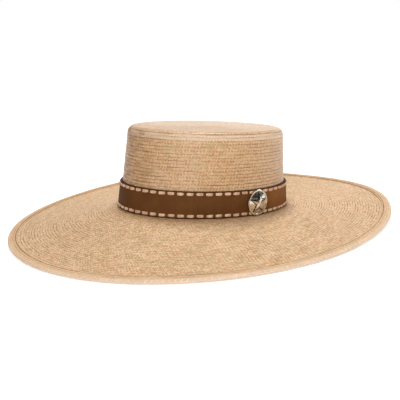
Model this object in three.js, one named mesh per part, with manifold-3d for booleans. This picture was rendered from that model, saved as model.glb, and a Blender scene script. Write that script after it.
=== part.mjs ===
// Wide-brimmed cowboy hat of sewn palm braid with a flat crown, a laced leather band and a silver concho.
//
// Millimetres, +Z up. The hat stands on its brim: the origin is the middle of the brim at the table.
// The front of the hat looks along -Y and the wearer's left side, with the concho, is +X.
// An angle around the hat is 0 at the front and grows towards the wearer's left.
import * as THREE from "three";
import { mergeVertices } from "three/addons/utils/BufferGeometryUtils.js";
import Module from "manifold-3d";

// Driving dimensions of the straw
const headLength = 192; // inside the head opening, front to back
const headWidth = 157; // inside the head opening, side to side
const strawThickness = 1.9;
const crownHeight = 86.5; // from the brim to the flat top
const crownTopLength = 174; // outside, front to back
const crownTopWidth = 168; // outside, side to side
const shoulderRadius = 7; // between the crown's wall and its flat top
const crownLean = THREE.MathUtils.degToRad(6); // the crown leans back when the brim lies on a table
const crownSetback = 2.5; // the crown stands this far behind the middle of the brim
const footHeight = 15.7; // the crown's foot above the table, halfway along the hat
const brimWidth = 116.8; // from the crown's foot to the brim's edge
const brimEdgeThickness = 1.2; // the straw thins towards its edge
const brimDish = 1.25; // 1 is a straight slope, more is steeper by the crown
const collarHeight = 9; // the brim's inner edge turns up this far inside the crown
const breakRadius = 3.5; // under the brim, where it turns up into the collar
const hemWidth = 8; // the folded row that finishes the brim's edge
const hemWall = 1.0;

// Gentle waves of the brim's edge: each has so many lobes around the hat, and a crest at an angle in degrees.
const brimWaves = [
  { lobes: 1, height: 1.2, crest: 180 },
  { lobes: 2, height: 0.9, crest: 110 },
  { lobes: 3, height: 1.25, crest: 10 },
  { lobes: 4, height: 0.9, crest: 54 },
];

// Driving dimensions of the band and its lacing
const bandHeight = 27;
const bandThickness = 2.4;
const laceWidth = 3.1;
const laceThickness = 0.9;
const laceInset = 2.5; // from the band's edge to the middle of the lace
const laceProud = 0.8; // a stitch stands this far out of the leather
const laceSunk = 0.4; // between stitches the lace lies this far below the leather's face
const stitchPitch = 9.9;
const stitchShare = 0.68; // part of the pitch that the lace spends outside

// Driving dimensions of the concho and its screw
const conchoAngle = THREE.MathUtils.degToRad(86);
const conchoDiameter = 27;
const conchoRimHeight = 1.2;
const conchoRimWidth = 1.8;
const conchoHeight = 3.8;
const starDiameter = 21;
const starWaist = 0.42; // the star's inner corners, as a share of its points
const starEdge = 0.4; // the star's outline above the dome
const starRelief = 0.9; // the star's ridges above the dome
const barrelRadius = 2.5;
const screwRadius = 1.2;
const screwHeadRadius = 5;
const screwHeadThickness = 0.7;
const screwReach = 1.0; // the screw's tip goes this far in behind the concho's dome

const fitGap = 0.3; // between any two pieces that touch
const segmentCount = 72; // flats around the hat

// Sizes that follow from the driving dimensions
const strawLap = 2 * strawThickness + fitGap; // the collar and the crown's wall together
const footHalfLength = headLength / 2 + strawLap;
const footHalfWidth = headWidth / 2 + strawLap;
const hemHalfHeight = brimEdgeThickness / 2 + fitGap + hemWall;
const bandFace = fitGap + bandThickness; // the leather's outer face, outside the crown's wall
const bandFoot = fitGap; // the band's lower edge above the crown's foot
const laceGrooveFloor = bandFace - laceSunk - laceThickness - fitGap;
const conchoRadius = conchoDiameter / 2;
const boreRadius = screwRadius + fitGap;

const material = (color, roughness, metalness = 0) => new THREE.MeshStandardMaterial({ color, roughness, metalness });
const palmStraw = material(0xdeb98e, 0.75);
const bandLeather = material(0x643f21, 0.6);
const laceLeather = material(0xd8b394, 0.7);
const agedSilver = material(0xb9ab98, 0.3, 1);

// The crown, the band and the concho share a frame that stands on the crown's foot and leans back.
const crownFrame = new THREE.Group();
crownFrame.position.set(0, crownSetback, footHeight);
crownFrame.rotation.x = -crownLean;
crownFrame.updateMatrix();

// The point of the crown's outer wall at an angle and height, moved outwards by an offset.
function crownPoint(angle, offset, height) {
  const share = height / crownHeight;
  const halfLength = THREE.MathUtils.lerp(footHalfLength, crownTopLength / 2, share) + offset;
  const halfWidth = THREE.MathUtils.lerp(footHalfWidth, crownTopWidth / 2, share) + offset;
  return new THREE.Vector3(halfWidth * Math.sin(angle), -halfLength * Math.cos(angle), height);
}

// The same point in the frame of the table.
const leaningPoint = (angle, offset, height) => crownPoint(angle, offset, height).applyMatrix4(crownFrame.matrix);

const evenAngles = Array.from({ length: segmentCount }, (_, i) => (2 * Math.PI * i) / segmentCount);

const waveHeight = (angle) =>
  brimWaves.reduce(
    (sum, { lobes, height, crest }) => sum + height * Math.cos(lobes * (angle - THREE.MathUtils.degToRad(crest))),
    0,
  );
const waveTrough = Math.min(...evenAngles.map(waveHeight));

// The middle of the brim's thickness, a distance out from the crown's foot.
function brimMiddle(angle, distance) {
  const share = distance / brimWidth;
  const foot = leaningPoint(angle, 0, -fitGap - strawThickness / 2);
  const edge = new THREE.Vector3(
    (footHalfWidth + brimWidth) * Math.sin(angle),
    -(footHalfLength + brimWidth) * Math.cos(angle),
    hemHalfHeight + waveHeight(angle) - waveTrough,
  );
  const point = foot.clone().lerp(edge, share);
  point.z = edge.z + (foot.z - edge.z) * Math.max(0, 1 - share) ** brimDish;
  return point;
}

const brimPoint = (angle, distance, height) => brimMiddle(angle, distance).add(new THREE.Vector3(0, 0, height));

function brimThickness(distance) {
  const share = Math.min(1, distance / (brimWidth - hemWidth));
  return THREE.MathUtils.lerp(strawThickness, brimEdgeThickness, share);
}

// A closed surface through rows of points, each row once around the hat. The rows run up outside and down inside.
// With two apexes the first row closes on the first and the last row on the second; otherwise the last row meets
// the first.
function loftRows(rows, apexes = []) {
  const count = rows[0].length;
  const points = [...rows.flat(), ...apexes];
  const faces = [];
  const lastRow = rows.length - 1;
  const corner = (row, i) => (row % rows.length) * count + (i % count);
  for (let row = 0; row < (apexes.length ? lastRow : rows.length); row++) {
    for (let i = 0; i < count; i++) {
      faces.push(corner(row, i), corner(row, i + 1), corner(row + 1, i + 1));
      faces.push(corner(row, i), corner(row + 1, i + 1), corner(row + 1, i));
    }
  }
  if (apexes.length) {
    const first = rows.length * count;
    for (let i = 0; i < count; i++) {
      faces.push(first, corner(0, i + 1), corner(0, i));
      faces.push(corner(lastRow, i), corner(lastRow, i + 1), first + 1);
    }
  }
  return new THREE.BufferGeometry().setFromPoints(points).setIndex(faces);
}

// Rows for a cross-section of (offset, height) points, placed at each angle.
const rowsOf = (section, place, angles = evenAngles) =>
  section.map(({ x, y }) => angles.map((angle) => place(angle, x, y)));

// Solids for cutting and joining
const wasm = await Module();
wasm.setup();

function solidOf(geometry) {
  const bare = new THREE.BufferGeometry().setAttribute("position", geometry.getAttribute("position"));
  bare.setIndex(geometry.index);
  const merged = mergeVertices(bare, 1e-4);
  const vertProperties = new Float32Array(merged.attributes.position.array);
  const triVerts = new Uint32Array(merged.index.array);
  return new wasm.Manifold(new wasm.Mesh({ numProp: 3, vertProperties, triVerts }));
}

function geometryOf(solid) {
  const { vertProperties, triVerts } = solid.getMesh();
  return new THREE.BufferGeometry()
    .setAttribute("position", new THREE.BufferAttribute(vertProperties, 3))
    .setIndex(new THREE.BufferAttribute(triVerts, 1));
}

// A turned solid about +Z from a profile of (radius, height) points that starts and ends on the axis.
function turned(profile, segments) {
  const points = profile.map(([radius, height]) => new THREE.Vector2(radius, height));
  return new THREE.LatheGeometry(points, segments).rotateX(Math.PI / 2);
}

// Crown: a thin wall and a flat top with a rounded shoulder
function crownGeometry() {
  const section = new THREE.Path();
  const shoulder = [-shoulderRadius, crownHeight - shoulderRadius];
  section.moveTo(-shoulderRadius, crownHeight - strawThickness);
  section.absarc(...shoulder, shoulderRadius - strawThickness, Math.PI / 2, 0, true);
  section.lineTo(-strawThickness, 0);
  section.lineTo(0, 0);
  section.lineTo(0, crownHeight - shoulderRadius);
  section.absarc(...shoulder, shoulderRadius, 0, Math.PI / 2, false);
  const innerTop = new THREE.Vector3(0, 0, crownHeight - strawThickness);
  const outerTop = new THREE.Vector3(0, 0, crownHeight);
  return loftRows(rowsOf(section.getPoints(2), crownPoint), [innerTop, outerTop]);
}

// Brim: a sheet that slopes from the crown's foot to the table and turns up inside the crown as a collar
function brimGeometry() {
  const shares = [0.05, 0.3, 0.62];
  const distances = [...shares.map((share) => share * (brimWidth - hemWidth)), brimWidth - hemWidth, brimWidth];
  const sheetRow = (distance, side) =>
    evenAngles.map((angle) => brimPoint(angle, distance, (side * brimThickness(distance)) / 2));
  const top = distances.toReversed().map((distance) => sheetRow(distance, 1));
  const underside = distances.map((distance) => sheetRow(distance, -1));
  const collarFace = -strawThickness - fitGap;
  const turnCentre = -fitGap - strawThickness + breakRadius;
  const collar = new THREE.Path();
  collar.moveTo(collarFace, -fitGap);
  collar.lineTo(collarFace, collarHeight);
  collar.lineTo(-strawLap, collarHeight);
  collar.lineTo(-strawLap, turnCentre);
  collar.absarc(-strawLap + breakRadius, turnCentre, breakRadius, Math.PI, 1.5 * Math.PI, false);
  return loftRows([...top, ...rowsOf(collar.getPoints(2), leaningPoint), ...underside]);
}

// Hem: the last row of braid, folded round the brim's edge
function hemGeometry() {
  const inner = brimWidth - hemWidth;
  const outer = brimWidth + fitGap;
  const slotHalfHeight = brimEdgeThickness / 2 + fitGap;
  const section = new THREE.Path();
  section.moveTo(inner, -hemHalfHeight);
  section.absarc(outer, 0, hemHalfHeight, -Math.PI / 2, Math.PI / 2, false);
  section.lineTo(inner, hemHalfHeight);
  section.lineTo(inner, slotHalfHeight);
  section.lineTo(outer, slotHalfHeight);
  section.lineTo(outer, -slotHalfHeight);
  section.lineTo(inner, -slotHalfHeight);
  return loftRows(rowsOf(section.getPoints(2), brimPoint));
}

// The middle of each lace above the crown's foot, and the angle in degrees of one gap between its stitches
const laces = [
  { name: "lower_lace", height: bandFoot + laceInset, gapAt: 8 },
  { name: "upper_lace", height: bandFoot + bandHeight - laceInset, gapAt: 6 },
];

// Band: a leather strip with a groove for each lace
function bandGeometry() {
  const section = [new THREE.Vector2(fitGap, bandFoot), new THREE.Vector2(bandFace, bandFoot)];
  const halfGroove = laceWidth / 2 + fitGap;
  for (const { height } of laces) {
    section.push(
      new THREE.Vector2(bandFace, height - halfGroove),
      new THREE.Vector2(laceGrooveFloor, height - halfGroove),
      new THREE.Vector2(laceGrooveFloor, height + halfGroove),
      new THREE.Vector2(bandFace, height + halfGroove),
    );
  }
  section.push(new THREE.Vector2(bandFace, bandFoot + bandHeight), new THREE.Vector2(fitGap, bandFoot + bandHeight));
  return loftRows(rowsOf(section, crownPoint));
}

// Lace: one strip that comes out of the leather for each stitch and dips into it between stitches
function laceGeometry({ height, gapAt }) {
  const halfLength = -crownPoint(0, bandFace, height).y;
  const halfWidth = crownPoint(Math.PI / 2, bandFace, height).x;
  const firstAngle = THREE.MathUtils.degToRad(gapAt);
  const pathStart = firstAngle - Math.PI / 2;
  const path = new THREE.EllipseCurve(0, 0, halfWidth, halfLength, pathStart, pathStart + 2 * Math.PI);
  path.arcLengthDivisions = 2000;
  const stitchCount = Math.round(path.getLength() / stitchPitch);
  const stations = [
    { share: 0, face: -laceSunk },
    { share: (1 - stitchShare) / 2, face: laceProud },
    { share: (1 + stitchShare) / 2, face: laceProud },
  ];
  const places = [];
  for (let stitch = 0; stitch < stitchCount; stitch++) {
    for (const { share, face } of stations) {
      const along = path.getUtoTmapping((stitch + share) / stitchCount);
      places.push({ angle: firstAngle + 2 * Math.PI * along, face: bandFace + face });
    }
  }
  const row = (depth, side) =>
    places.map(({ angle, face }) => crownPoint(angle, face - depth, height + (side * laceWidth) / 2));
  return loftRows([row(0, -1), row(0, 1), row(laceThickness, 1), row(laceThickness, -1)]);
}

// Where the concho sits: the middle of the band, looking straight out from the leather
const conchoHeightOnBand = bandFoot + bandHeight / 2;
const conchoSeat = new THREE.Group();
const seatPoint = crownPoint(conchoAngle, bandFace, conchoHeightOnBand);
const alongBand = crownPoint(conchoAngle + 0.01, bandFace, conchoHeightOnBand).sub(seatPoint);
const upBand = crownPoint(conchoAngle, bandFace, conchoHeightOnBand + 1).sub(seatPoint);
const outward = alongBand.clone().cross(upBand).normalize();
const upright = outward.clone().cross(alongBand).normalize();
conchoSeat.position.copy(seatPoint);
conchoSeat.setRotationFromMatrix(new THREE.Matrix4().makeBasis(upright.clone().cross(outward), upright, outward));
conchoSeat.updateMatrix();

// Depths along the concho's axis, from the leather's face
const conchoBack = laceProud + fitGap;
const screwHeadBack = -bandThickness;
const screwHeadFront = screwHeadBack + screwHeadThickness;
const barrelEnd = screwHeadFront + fitGap;
const screwTip = conchoBack + screwReach;
const bandCut = { barrel: barrelRadius + fitGap, head: screwHeadRadius + fitGap };

// The hole and the recess that the screw needs in the leather
function drilledBand() {
  const slack = 1;
  const hole = new THREE.CylinderGeometry(bandCut.barrel, bandCut.barrel, 2 * (bandThickness + slack), 20);
  const recessDepth = screwHeadThickness + fitGap;
  const recess = new THREE.CylinderGeometry(bandCut.head, bandCut.head, recessDepth + slack, 24);
  hole.rotateX(Math.PI / 2).translate(0, 0, -bandThickness / 2);
  recess.rotateX(Math.PI / 2).translate(0, 0, screwHeadBack + (recessDepth - slack) / 2);
  const cuts = [hole, recess].map((cut) => solidOf(cut.applyMatrix4(conchoSeat.matrix)));
  return geometryOf(cuts.reduce((band, cut) => band.subtract(cut), solidOf(bandGeometry())));
}

// Height of the concho's dome above its back, a distance from its middle
function domeHeight(radius) {
  const domeRadius = conchoRadius - conchoRimWidth;
  const rise = conchoHeight - conchoRimHeight;
  const sphere = (domeRadius ** 2 + rise ** 2) / (2 * rise);
  return conchoHeight - sphere + Math.sqrt(sphere ** 2 - radius ** 2);
}

// Star: points raised above the dome, each with a ridge along its middle
function starSolid() {
  const pointCount = 5;
  const cornerCount = 2 * pointCount;
  const tipRadius = starDiameter / 2;
  const turnOf = (corner) => Math.PI / 2 + (2 * Math.PI * corner) / cornerCount;
  const onStar = (radius, corner, height) =>
    new THREE.Vector3(radius * Math.cos(turnOf(corner)), radius * Math.sin(turnOf(corner)), height);
  const corners = Array.from({ length: cornerCount }, (_, i) => ({ i, radius: tipRadius * (i % 2 ? starWaist : 1) }));
  const outline = corners.map(({ i, radius }) => onStar(radius, i, domeHeight(radius) + starEdge));
  const base = corners.map(({ i, radius }) => onStar(radius, i, conchoRimHeight));
  const ridges = Array.from({ length: pointCount }, (_, i) =>
    onStar(tipRadius / 2, 2 * i, domeHeight(tipRadius / 2) + starRelief),
  );
  const bottom = onStar(0, 0, conchoRimHeight);
  const top = onStar(0, 0, conchoHeight + starRelief);
  const points = [...outline, ...base, ...ridges, bottom, top];
  const bottomIndex = points.indexOf(bottom);
  const topIndex = points.indexOf(top);
  const faces = corners.flatMap(({ i }) => {
    const next = (i + 1) % cornerCount;
    const ridge = points.indexOf(ridges[Math.ceil(i / 2) % pointCount]);
    const inner = i % 2 ? [i, ridge, topIndex] : [next, topIndex, ridge];
    const wall = [cornerCount + i, cornerCount + next, next, cornerCount + i, next, i];
    return [...wall, bottomIndex, cornerCount + next, cornerCount + i, i, next, ridge, ...inner];
  });
  return solidOf(new THREE.BufferGeometry().setFromPoints(points).setIndex(faces));
}

// Concho: a domed button with a flat rim, a star and a threaded barrel behind
function conchoGeometry() {
  const barrelLength = conchoBack - barrelEnd;
  const domeRings = 6;
  const dome = Array.from({ length: domeRings + 1 }, (_, i) => {
    const radius = (conchoRadius - conchoRimWidth) * (1 - i / domeRings);
    return [radius, domeHeight(radius)];
  });
  const profile = [
    [0, screwReach + fitGap],
    [boreRadius, screwReach + fitGap],
    [boreRadius, -barrelLength],
    [barrelRadius, -barrelLength],
    [barrelRadius, 0],
    [conchoRadius, 0],
    [conchoRadius, conchoRimHeight],
    ...dome,
  ];
  return geometryOf(solidOf(turned(profile, 40)).add(starSolid()));
}

// Screw: a flat head behind the leather and a shank in the concho's barrel
function screwGeometry() {
  const profile = [
    [0, screwHeadBack],
    [screwHeadRadius, screwHeadBack],
    [screwHeadRadius, screwHeadFront],
    [screwRadius, screwHeadFront],
    [screwRadius, screwTip],
    [0, screwTip],
  ];
  return turned(profile, 24);
}

function piece(name, geometry, look, parent) {
  const mesh = new THREE.Mesh(geometry, look);
  mesh.name = name;
  geometry.computeVertexNormals();
  parent.add(mesh);
  return mesh;
}

const hat = new THREE.Group();
hat.name = "straw_cowboy_hat";
hat.add(crownFrame);
crownFrame.add(conchoSeat);
piece("brim", brimGeometry(), palmStraw, hat);
piece("brim_edge", hemGeometry(), palmStraw, hat);
piece("crown", crownGeometry(), palmStraw, crownFrame);
piece("hat_band", drilledBand(), bandLeather, crownFrame);
for (const lace of laces) {
  piece(lace.name, laceGeometry(lace), laceLeather, crownFrame);
}
piece("concho", conchoGeometry(), agedSilver, conchoSeat).position.z = conchoBack;
piece("concho_screw", screwGeometry(), agedSilver, conchoSeat);

export default hat;
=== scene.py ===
"""Looks of a wide-brimmed palm straw hat with a laced leather band and a silver star concho.

Metres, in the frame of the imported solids: +Z up, the hat standing on its brim, its front along -Y and
the wearer's left, with the concho, along +X. An angle around the hat is 0 at the front and grows
towards +X.
"""

import logging
import math
from collections.abc import Callable, Iterator
from contextlib import contextmanager
from dataclasses import dataclass
from enum import Enum
from typing import Any

import bpy
import numpy as np
from bpy.types import Material, MeshVertex, Node, NodeSocket, NodeTree, Object
from mathutils import Matrix, Vector

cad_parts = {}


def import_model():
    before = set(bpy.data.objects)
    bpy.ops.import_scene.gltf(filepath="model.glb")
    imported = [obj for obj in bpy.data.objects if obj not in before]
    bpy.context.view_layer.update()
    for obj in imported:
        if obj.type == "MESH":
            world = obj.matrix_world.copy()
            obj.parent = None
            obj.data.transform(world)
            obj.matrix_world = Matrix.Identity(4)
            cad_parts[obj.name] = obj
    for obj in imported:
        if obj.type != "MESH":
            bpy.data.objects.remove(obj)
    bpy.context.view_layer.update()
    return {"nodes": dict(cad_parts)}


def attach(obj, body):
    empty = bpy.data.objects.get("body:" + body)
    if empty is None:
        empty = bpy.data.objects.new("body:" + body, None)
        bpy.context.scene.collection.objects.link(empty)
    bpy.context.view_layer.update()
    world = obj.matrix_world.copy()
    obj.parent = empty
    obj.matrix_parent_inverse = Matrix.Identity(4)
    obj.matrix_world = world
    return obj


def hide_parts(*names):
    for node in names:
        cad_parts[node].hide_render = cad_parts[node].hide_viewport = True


LOG = logging.getLogger("straw_hat")
MM = 0.001
Reach = tuple[float, float]
TURN = 2 * math.pi
ROWS_MAP = "rows"


def linear(hex_colour: str) -> tuple[float, float, float, float]:
    """Turns an sRGB hex colour such as "e8c9a0" into linear RGBA."""
    channels = [int(hex_colour[i : i + 2], 16) / 255 for i in (0, 2, 4)]
    return (*[c / 12.92 if c <= 0.04045 else ((c + 0.055) / 1.055) ** 2.4 for c in channels], 1.0)


def heading(azimuth: float, elevation: float = 0.0) -> Vector:
    """Returns the direction at an azimuth, 0 at the hat's front, and a height, both in degrees."""
    east, up = math.radians(azimuth), math.radians(elevation)
    return Vector((math.sin(east) * math.cos(up), -math.cos(east) * math.cos(up), math.sin(up)))


def add_mesh(add: Callable, **settings: Any) -> Object:
    """Adds one of Blender's ready meshes with nothing else selected, and returns its object."""
    bpy.ops.object.select_all(action="DESELECT")
    add(**settings)
    return bpy.context.object


def add_cylinder(radius: float, bottom: float, depth: float, sides: int) -> Object:
    """Adds an upright cylinder with its place in its mesh, and returns it."""
    middle = (0.0, 0.0, bottom + depth / 2)
    sizes = {"vertices": sides, "radius": radius, "depth": depth, "location": middle}
    cylinder = add_mesh(bpy.ops.mesh.primitive_cylinder_add, **sizes)
    bpy.ops.object.transform_apply(location=True, rotation=True, scale=True)
    return cylinder


@contextmanager
def editing(select: str = "SELECT") -> Iterator[None]:
    """Opens the active mesh in edit mode, all or nothing selected, and closes it at the end."""
    bpy.ops.object.mode_set(mode="EDIT")
    bpy.ops.mesh.select_all(action=select)
    yield
    bpy.ops.object.mode_set(mode="OBJECT")


def set_inputs(tree: NodeTree, node: Node, inputs: dict) -> None:
    """Gives a node's sockets, by name or number, values, hex colours or the sockets that feed them."""
    for key, value in inputs.items():
        if isinstance(value, NodeSocket):
            tree.links.new(value, node.inputs[key])
        else:
            node.inputs[key].default_value = linear(value) if isinstance(value, str) else value


def add_node(
    tree: NodeTree, kind: str, inputs: dict | None = None, **settings: Any
) -> Node:
    """Adds a shader node with its settings, its values and its links.

    Args:
        tree: The node tree that gets the node.
        kind: The node's type after "ShaderNode", such as "Math".
        inputs: Socket name or number to a value, a hex colour or the socket that feeds it.
        settings: Properties of the node, such as operation="ADD".

    Returns:
        The new node.
    """
    node = tree.nodes.new("ShaderNode" + kind)
    for key, value in settings.items():
        setattr(node, key, value)
    set_inputs(tree, node, inputs or {})
    return node


class Maths:
    """Short ways to write a formula as shader nodes."""

    def __init__(self, tree: NodeTree) -> None:
        """Keeps the tree that the formula is built in."""
        self.tree = tree

    def do(self, operation: str, *values: Any) -> NodeSocket:
        """Adds a Math node for an operation on numbers or sockets, and returns its result."""
        inputs = dict(enumerate(values))
        return add_node(self.tree, "Math", inputs, operation=operation).outputs[0]

    def off_middle(self, share: Any) -> NodeSocket:
        """Measures how far a share is from one half, 0 in the middle and 1 at both ends."""
        return self.do("ABSOLUTE", self.do("MULTIPLY_ADD", share, 2.0, -1.0))

    def band(
        self, value: Any, low: float, high: float, first: float = 0.0, last: float = 1.0
    ) -> NodeSocket:
        """Maps a value smoothly from low..high to first..last, held at both ends, and returns it."""
        inputs = {"Value": value, "From Min": low, "From Max": high, "To Min": first, "To Max": last}
        return add_node(self.tree, "MapRange", inputs, interpolation_type="SMOOTHSTEP").outputs[0]

    def blend(self, share: Any, low: Any, high: Any) -> NodeSocket:
        """Mixes two colours by a share, and returns the colour."""
        inputs = {0: share, 6: low, 7: high}
        return add_node(self.tree, "Mix", inputs, data_type="RGBA").outputs[2]

    def plane(self, x: Any, y: Any) -> NodeSocket:
        """Joins two numbers to a place on a plane, and returns it."""
        return add_node(self.tree, "CombineXYZ", {0: x, 1: y}).outputs[0]

    def own_value(self, column: Any, row: Any) -> NodeSocket:
        """Gives each cell of a grid a value of its own, 0 to 1, and returns it."""
        inputs = {"Vector": self.plane(column, row)}
        return add_node(self.tree, "TexWhiteNoise", inputs, noise_dimensions="2D").outputs[0]

    def reach(self, place: Any, direction: Vector) -> NodeSocket:
        """Measures how far a place lies along a direction, and returns it."""
        inputs = {0: place, 1: direction}
        return add_node(self.tree, "VectorMath", inputs, operation="DOT_PRODUCT").outputs["Value"]

    def noise(
        self, place: Any, scale: float, detail: float = 2.0, **settings: Any
    ) -> NodeSocket:
        """Adds a noise texture at a place, and returns its value."""
        inputs = {"Vector": place, "Scale": scale, "Detail": detail}
        return add_node(self.tree, "TexNoise", inputs, **settings).outputs[0]

    def on_piece(self) -> NodeSocket:
        """Returns the place on the piece, in metres."""
        return add_node(self.tree, "TexCoord").outputs["Object"]

    def on_map(self) -> tuple[NodeSocket, NodeSocket]:
        """Returns the place along and across the rows of the piece's own map."""
        rows = add_node(self.tree, "UVMap", uv_map=ROWS_MAP).outputs[0]
        split = add_node(self.tree, "SeparateXYZ", {0: rows})
        return split.outputs[0], split.outputs[1]


def new_material(name: str) -> tuple[Material, Maths, Node]:
    """Makes an empty material.

    Args:
        name: The finish's common name.

    Returns:
        The material, the maths of its node tree and its shader.
    """
    material = bpy.data.materials.new(name)
    material.use_nodes = True
    tree = material.node_tree
    tree.nodes.clear()
    shader = add_node(tree, "BsdfPrincipled")
    add_node(tree, "OutputMaterial", {"Surface": shader.outputs[0]})
    return material, Maths(tree), shader


def feed(
    maths: Maths, shader: Node, height: Any, relief: float, strength: float, inputs: dict
) -> None:
    """Gives a finish's shader its values and its fine relief.

    Args:
        maths: The maths of the finish's node tree.
        shader: The finish's shader.
        height: Socket with the relief, 0 to 1.
        relief: Depth in metres that a relief of 1 stands for.
        strength: How strongly the relief turns the light.
        inputs: The shader's socket names, each with its value or the socket that feeds it.
    """
    bumps = {"Height": height, "Distance": relief, "Strength": strength}
    normal = add_node(maths.tree, "Bump", bumps).outputs[0]
    set_inputs(maths.tree, shader, {"Normal": normal, **inputs})


class StrawUse(Enum):
    """Where a straw finish is used."""

    CROWN = "palm_braid_crown"
    BRIM = "palm_braid_brim"
    HEM = "palm_braid_hem"


@dataclass(frozen=True)
class BraidPlace:
    """Where a point lies in the braid, as sockets."""

    piece: NodeSocket
    along: NodeSocket
    across: NodeSocket
    row: NodeSocket
    half_row: NodeSocket
    in_row: NodeSocket
    straw: NodeSocket
    straw_side: NodeSocket
    streak: NodeSocket


@dataclass(frozen=True)
class PalmBraid:
    """Bleached palm leaf, split, plaited flat and sewn in overlapping rows.

    The eye sees rows of small slanting straws in slightly different tones, a thin dark line where each row
    tucks under the next, darker runs where a line gapes, and a waxy sheen at a low angle. Its map counts
    straws along a row and rows across, so a straw keeps its size. Real straws here are about 1.3 mm wide.
    They're drawn 1.6 mm wide, so that they still show from a whole hat's distance. The marked row's line
    gapes all round. Painted light makes the lit rows paler, painted shade darkens the rows up to the shaded
    row, and one side gets darker streaks, partly the leaf's own and partly painted shade for that side.
    """

    use: StrawUse
    roughness: float
    shine: float = 0.4

    # colours of the leaf
    pale_hex: str = "e7c494"
    ripe_hex: str = "b9854f"
    green_hex: str = "c9b27c"
    pink_hex: str = "dfab84"
    shade_hex: str = "643c1a"

    # how much each kind of unevenness shifts the tone, and the sizes of each
    tone_reach: Reach = (-0.3, 1.3)
    straw_spread: float = 0.85
    weave_spread: float = 0.35
    streak_spread: float = 0.7
    streak_stretch: float = 0.09
    streak_rows: float = 0.5
    lane_shift: float = 5.3
    cloud_spread: float = 0.25
    cloud_scale: float = 18.0
    hue_spread: float = 0.4
    hue_scale: float = 100.0
    pink_reach: Reach = (0.55, 0.75)
    green_reach: Reach = (0.45, 0.25)

    # painted light on chosen rows, painted shade towards a row, and darker streaks on one side, partly the
    # leaf's own and partly painted shade
    # painted light: the chosen rows blend towards a pale colour, standing in for a highlight on the crown's
    # shoulder and for light on the hem's rim
    painted_light_hex: str = "f7e6cb"
    painted_light_row: int = -1
    painted_light_rows: int = 2
    painted_light: float = 0.4
    # painted shade: rows up to the shaded row grow darker, standing in for the shadow under the band; the
    # same colour darkens the streaks on one side
    streak_and_shade_hex: str = "a5713c"
    painted_shade_row: int = -1
    painted_shade_rows: int = 5
    painted_shade: float = 0.3
    # darker streaks on one side, partly the leaf's own streaks and partly painted shade for the side that
    # gets less light
    streaks_and_side_shade: float = 0.0
    shaded_side_degrees: float = -43
    shaded_side_reach: Reach = (30 * MM, 85 * MM)
    patch_reach: Reach = (0.56, 0.36)

    # shade between rows and straws, with dashes and gapes along the rows
    row_line: float = 0.35
    row_line_reach: Reach = (0.72, 1.0)
    dash_line: float = 0.5
    dash_length: float = 4.0
    dash_rows: float = 1.0
    dash_reach: Reach = (0.55, 0.75)
    gape_line: float = 0.35
    gape_stretch: float = 0.035
    gape_scale: float = 1.7
    gape_reach: Reach = (0.52, 0.66)
    marked_row: int = -1
    marked_line: float = 0.65
    marked_line_reach: Reach = (0.5, 0.85)
    marked_dash_reach: Reach = (0.1, 0.8)
    straw_line: float = 0.6

    # form of a straw
    slant: float = 1.0
    straw_relief: float = 0.25 * MM

    def find(self, maths: Maths) -> BraidPlace:
        """Finds where a point lies in the braid, and returns it."""
        along, across = maths.on_map()
        in_row = maths.do("FRACT", across)
        slanted = maths.do("MULTIPLY_ADD", in_row, self.slant, along)
        lane = maths.do("FLOOR", maths.do("DIVIDE", across, self.streak_rows))
        stretched = maths.do("MULTIPLY", along, self.streak_stretch)
        streak_at = maths.plane(stretched, maths.do("MULTIPLY", lane, self.lane_shift))
        return BraidPlace(
            piece=maths.on_piece(),
            along=along,
            across=across,
            row=maths.do("FLOOR", across),
            half_row=maths.do("FLOOR", maths.do("MULTIPLY", across, 2.0)),
            in_row=in_row,
            straw=maths.do("FLOOR", slanted),
            straw_side=maths.off_middle(maths.do("FRACT", slanted)),
            streak=maths.noise(streak_at, 1.0, noise_dimensions="2D"),
        )

    def leaf(self, maths: Maths, at: BraidPlace) -> NodeSocket:
        """Colours each straw by its own tone and by the leaf's streaks, clouds and hues."""
        own = maths.own_value(at.straw, at.half_row)
        over = maths.do("PINGPONG", maths.do("ADD", at.straw, at.half_row), 1.0)
        cloud = maths.noise(at.piece, self.cloud_scale, 3.0)
        lowest = 0.5 - 0.5 * (self.straw_spread + self.weave_spread)
        tone = maths.do("MULTIPLY_ADD", over, self.weave_spread, lowest)
        tone = maths.do("MULTIPLY_ADD", own, self.straw_spread, tone)
        for unevenness, spread in ((at.streak, self.streak_spread), (cloud, self.cloud_spread)):
            tone = maths.do("MULTIPLY_ADD", maths.do("SUBTRACT", unevenness, 0.5), spread, tone)
        paleness = maths.band(tone, *self.tone_reach)
        colour = maths.blend(paleness, self.ripe_hex, self.pale_hex)
        hue = maths.noise(at.piece, self.hue_scale, 1.0)
        for reach, tint_hex in ((self.pink_reach, self.pink_hex), (self.green_reach, self.green_hex)):
            colour = maths.blend(maths.band(hue, *reach, 0.0, self.hue_spread), colour, tint_hex)
        return colour

    def painted_light_and_shade(self, maths: Maths, at: BraidPlace, colour: Any) -> NodeSocket:
        """Paints light and shade into a colour: paler rows of painted light, rows that grow darker with
        painted shade, and darker streaks on one side, partly the leaf's own and partly painted shade.
        """
        # Painted light: the chosen rows are blended paler.
        painted_light_middle = self.painted_light_row - 0.5 * (self.painted_light_rows - 1)
        painted_light = maths.do("COMPARE", at.row, painted_light_middle, 0.5 * self.painted_light_rows)
        # Painted shade: rows towards the shaded row grow darker, standing in for the shadow that falls
        # under the band.
        first_painted_shade_row = self.painted_shade_row - self.painted_shade_rows
        painted_shade_share = maths.band(at.across, first_painted_shade_row, self.painted_shade_row, 0.0, self.painted_shade)
        before = maths.do("LESS_THAN", at.across, self.painted_shade_row + 1.0)
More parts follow.
